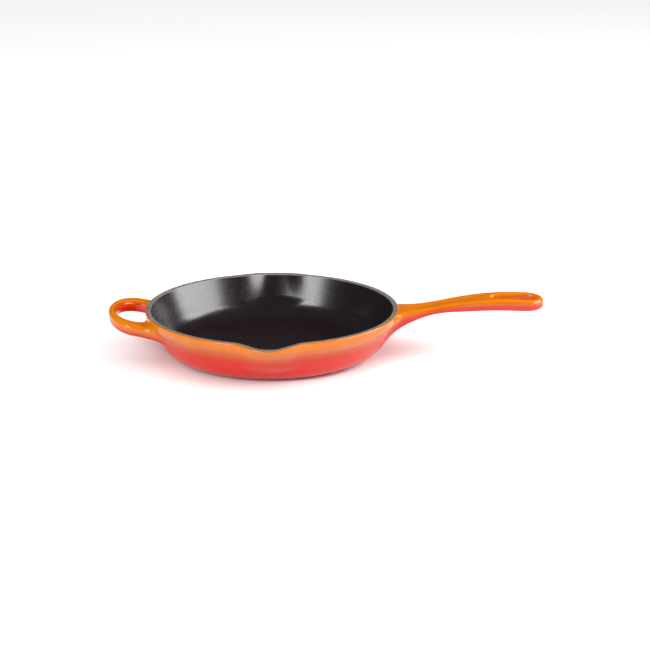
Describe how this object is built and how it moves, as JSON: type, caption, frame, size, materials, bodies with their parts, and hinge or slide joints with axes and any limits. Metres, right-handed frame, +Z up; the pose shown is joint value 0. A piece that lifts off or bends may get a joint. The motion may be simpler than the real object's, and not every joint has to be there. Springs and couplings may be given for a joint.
{
  "type": "skillet",
  "caption": "Enamelled cast iron skillet: shallow round pan with pouring spouts, a long handle with a hanging slot and a looped helper handle.",
  "frame": {"origin": "centre of the resting plane, on the axis of the round pan", "axes": "+Z up out of the pan, +X along the long handle, pouring spouts at +Y and -Y"},
  "size_m": [0.455, 0.2862, 0.059],
  "materials": {
    "iron": "raw grey iron casting, sandy skin, wholly covered by enamel",
    "interior_enamel": "satin black vitreous enamel",
    "ground_coat": "bare grey enamel ground coat, semi-matt",
    "exterior_enamel": "glossy flame-orange vitreous enamel, shading from orange-yellow at the top to red-orange below"
  },
  "bodies": {
    "root": {"bowl_casting": "iron", "long_handle_casting": "iron", "helper_handle_casting": "iron", "interior_enamel": "interior_enamel", "rim_ground_coat": "ground_coat", "base_enamel": "exterior_enamel", "wall_enamel": "exterior_enamel", "long_handle_enamel": "exterior_enamel", "helper_handle_enamel": "exterior_enamel"}
  },
  "joints": []
}
